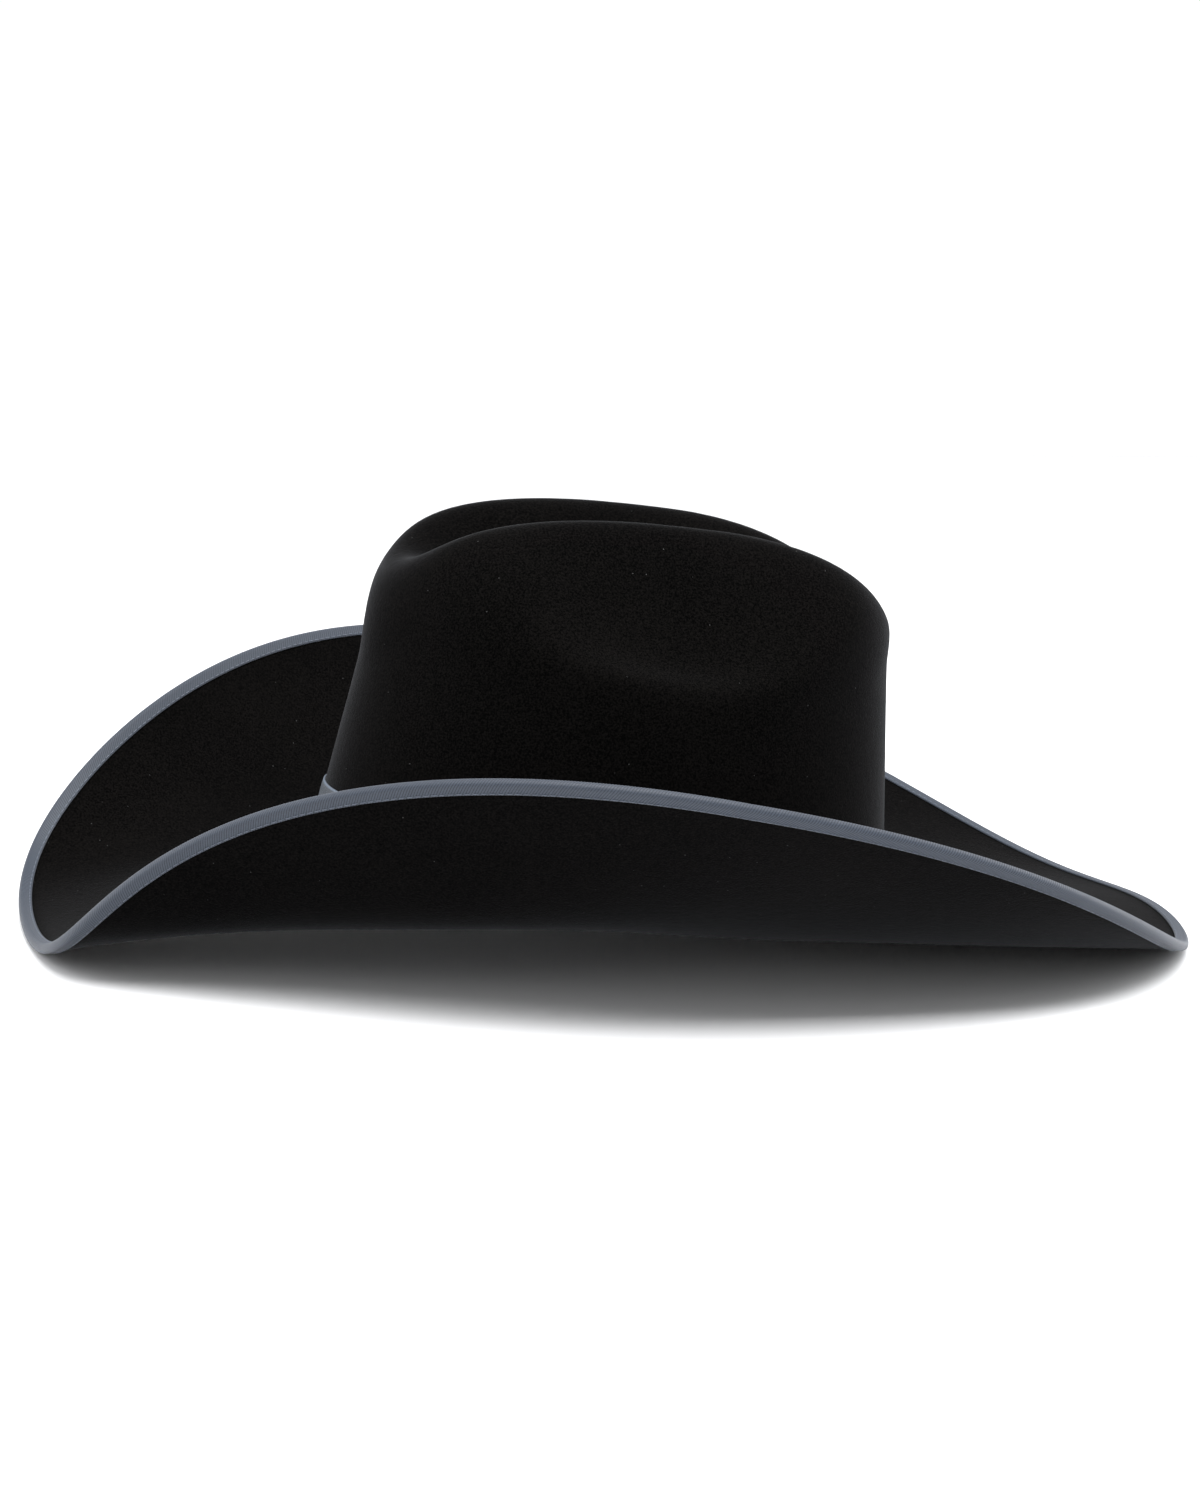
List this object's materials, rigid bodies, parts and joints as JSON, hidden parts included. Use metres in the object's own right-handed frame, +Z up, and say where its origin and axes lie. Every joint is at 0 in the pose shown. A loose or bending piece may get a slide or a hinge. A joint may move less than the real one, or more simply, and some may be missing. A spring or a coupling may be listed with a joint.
{
  "type": "cowboy hat",
  "caption": "Felt cowboy hat with a creased cattleman crown, side-curled ribbon-bound brim, ribbon hat band with a flat bow, leather sweatband and satin lining.",
  "frame": {"origin": "middle of the hat's overall length, on its plane of symmetry, on the surface that the front and back tips of the brim rest on", "axes": "+X to the front of the hat, +Y to the wearer's left, +Z up through the crown"},
  "size_m": [0.4214, 0.377, 0.1512],
  "materials": {
    "black_felt": "fur felt with a short brushed nap",
    "binding_ribbon": "ribbed grosgrain ribbon",
    "band_ribbon": "ribbed grosgrain ribbon",
    "thread": "spun polyester thread",
    "tape": "woven cotton tape",
    "reed_plastic": "extruded polyethylene cord",
    "sweat_leather": "smooth roan leather, semi-matt",
    "lining_satin": "satin",
    "piping": "twisted cord",
    "label_cloth": "woven tape",
    "clear_shield": "clear thin plastic film"
  },
  "bodies": {
    "root": {"felt_body": "black_felt", "brim_binding": "binding_ribbon", "binding_thread_top": "thread", "binding_thread_under": "thread", "hat_band": "band_ribbon", "bow_loops": "band_ribbon", "bow_knot": "band_ribbon", "reed_tape": "tape", "reed": "reed_plastic", "sweatband": "sweat_leather", "sweatband_thread": "thread", "sweatband_seam_strip": "tape", "sweatband_bow": "band_ribbon", "size_label": "label_cloth", "lining_side": "lining_satin", "lining_piping": "piping", "lining_tip": "lining_satin", "tip_shield": "clear_shield"}
  },
  "joints": []
}
